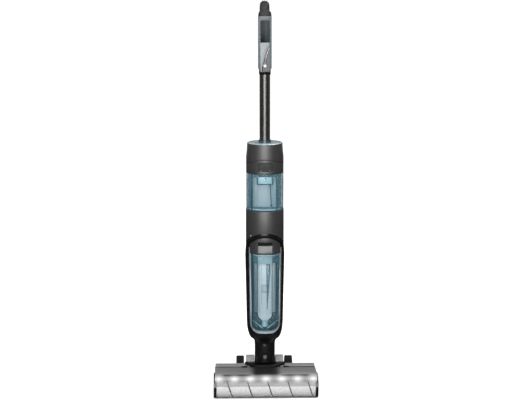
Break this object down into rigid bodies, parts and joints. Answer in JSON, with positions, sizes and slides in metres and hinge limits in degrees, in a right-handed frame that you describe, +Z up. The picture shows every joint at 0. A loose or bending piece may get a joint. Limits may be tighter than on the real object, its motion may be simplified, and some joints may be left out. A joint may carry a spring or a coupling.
{
  "type": "wet dry floor scrubber",
  "caption": "Upright cordless wet dry floor scrubber: round body with a clean and a dirty water tank, tilting neck, loop handle, and a low head with a microfibre roller under a smoked cover.",
  "frame": {"origin": "on the floor, below the middle of the whole machine's box", "axes": "+Z up the body and handle, -Y out of the front of the head where the roller is, +X to the right as seen from the front"},
  "size_m": [0.292, 0.2568, 1.1],
  "materials": {
    "black_plastic": "satin black moulding",
    "body_grey": "metallic dark grey moulding",
    "housing_grey": "matt grey",
    "smoked_cover": "clear smoked plastic, polished",
    "blue_tank": "clear blue plastic, polished",
    "pale_gloss": "pale blue gloss",
    "silver": "bright silver satin",
    "dark_tube": "dark anodised",
    "steel": "plain",
    "grip_rubber": "textured",
    "tyre_rubber": "plain",
    "microfibre": "short dense pile",
    "clear_lens": "clear",
    "panel_black": "piano black",
    "pack_green": "shrink wrap and board"
  },
  "bodies": {
    "floor_head": {"head_chassis": "black_plastic", "rear_top_cover": "housing_grey", "hub_cover": "black_plastic", "pivot_ear_left": "housing_grey", "pivot_ear_right": "housing_grey", "tilt_pin": "steel", "wheel_axle": "steel", "end_plate_left": "black_plastic", "end_plate_right": "black_plastic", "roller_motor": "steel", "light_guide": "clear_lens", "squeegee": "grip_rubber", "spray_bar": "black_plastic", "suction_duct": "black_plastic"},
    "roller": {"roller_core": "black_plastic", "roller_sleeve": "microfibre", "roller_drive_hub": "steel", "roller_end_cap": "black_plastic"},
    "wheel_left": {"wheel_hub_left": "black_plastic", "tyre_left": "tyre_rubber"},
    "wheel_right": {"wheel_hub_right": "black_plastic", "tyre_right": "tyre_rubber"},
    "cover": {"roller_cover": "smoked_cover"},
    "catch_left": {"cover_catch_left": "black_plastic"},
    "catch_right": {"cover_catch_right": "black_plastic"},
    "neck": {"neck_lower": "black_plastic", "neck_plug": "silver"},
    "upright": {"tank_cradle": "black_plastic", "cradle_trim": "silver", "battery_cover": "body_grey", "battery_pack": "pack_green", "middle_housing": "body_grey", "housing_screw": "steel", "suction_motor": "steel", "water_pump": "black_plastic", "rear_column": "body_grey", "control_board": "pack_green", "top_collar": "body_grey", "top_cap": "pale_gloss", "tube": "dark_tube", "handle_post": "black_plastic", "handle_grip": "grip_rubber", "handle_panel": "panel_black", "handle_band": "silver", "handle_fascia": "silver", "side_rail_left": "pale_gloss", "side_rail_right": "pale_gloss"},
    "fan": {"suction_fan": "silver"},
    "clean_tank": {"clean_tank_shell": "blue_tank", "clean_tank_cap": "body_grey", "clean_tank_straw": "blue_tank"},
    "clean_latch": {"clean_tank_latch": "black_plastic"},
    "dirty_tank": {"dirty_tank_shell": "blue_tank", "dirty_tank_cap": "body_grey", "dirty_tank_riser": "blue_tank"},
    "dirty_latch": {"dirty_tank_latch": "housing_grey"},
    "float": {"tank_float": "clear_lens"},
    "power_key": {"power_button": "silver"},
    "clean_key": {"clean_button": "silver"}
  },
  "joints": [
    {"name": "roller_spin", "type": "hinge", "parent": "floor_head", "child": "roller", "pos_m": [0, -0.091, 0.03], "axis": [1, 0, 0], "continuous": true},
    {"name": "wheel_left_roll", "type": "hinge", "parent": "floor_head", "child": "wheel_left", "pos_m": [-0.06955, 0.0944, 0.034], "axis": [1, 0, 0], "continuous": true},
    {"name": "wheel_right_roll", "type": "hinge", "parent": "floor_head", "child": "wheel_right", "pos_m": [0.06955, 0.0944, 0.034], "axis": [1, 0, 0], "continuous": true},
    {"name": "cover_lift", "type": "slide", "parent": "floor_head", "child": "cover", "axis": [0, 0, 1], "range_m": [0, 0.06]},
    {"name": "catch_left_press", "type": "slide", "parent": "cover", "child": "catch_left", "axis": [1, 0, 0], "range_m": [0, 0.003], "stiffness_N_per_m": 300},
    {"name": "catch_right_press", "type": "slide", "parent": "cover", "child": "catch_right", "axis": [-1, 0, 0], "range_m": [0, 0.003], "stiffness_N_per_m": 300},
    {"name": "neck_tilt", "type": "hinge", "parent": "floor_head", "child": "neck", "pos_m": [0, 0.046, 0.06], "axis": [-1, 0, 0], "range_deg": [0, 75]},
    {"name": "body_swivel", "type": "hinge", "parent": "neck", "child": "upright", "pos_m": [0, 0.02, 0.13], "axis": [0, 0, 1], "range_deg": [-45, 45]},
    {"name": "fan_spin", "type": "hinge", "parent": "upright", "child": "fan", "pos_m": [0, 0.02, 0.494], "axis": [0, 0, 1], "continuous": true},
    {"name": "clean_tank_slide", "type": "slide", "parent": "upright", "child": "clean_tank", "axis": [0, -1, 0], "range_m": [0, 0.1]},
    {"name": "clean_latch_press", "type": "slide", "parent": "clean_tank", "child": "clean_latch", "axis": [0, 1, 0], "range_m": [0, 0.003], "stiffness_N_per_m": 300},
    {"name": "dirty_tank_slide", "type": "slide", "parent": "upright", "child": "dirty_tank", "axis": [0, -1, 0], "range_m": [0, 0.11]},
    {"name": "dirty_latch_press", "type": "slide", "parent": "dirty_tank", "child": "dirty_latch", "axis": [0, 1, 0], "range_m": [0, 0.004], "stiffness_N_per_m": 300},
    {"name": "float_rise", "type": "slide", "parent": "dirty_tank", "child": "float", "axis": [0, 0, 1], "range_m": [0, 0.03]},
    {"name": "power_press", "type": "slide", "parent": "upright", "child": "power_key", "axis": [0, 0, -1], "range_m": [0, 0.0015], "stiffness_N_per_m": 300},
    {"name": "clean_press", "type": "slide", "parent": "upright", "child": "clean_key", "axis": [0, 1, 0], "range_m": [0, 0.0012], "stiffness_N_per_m": 300}
  ]
}
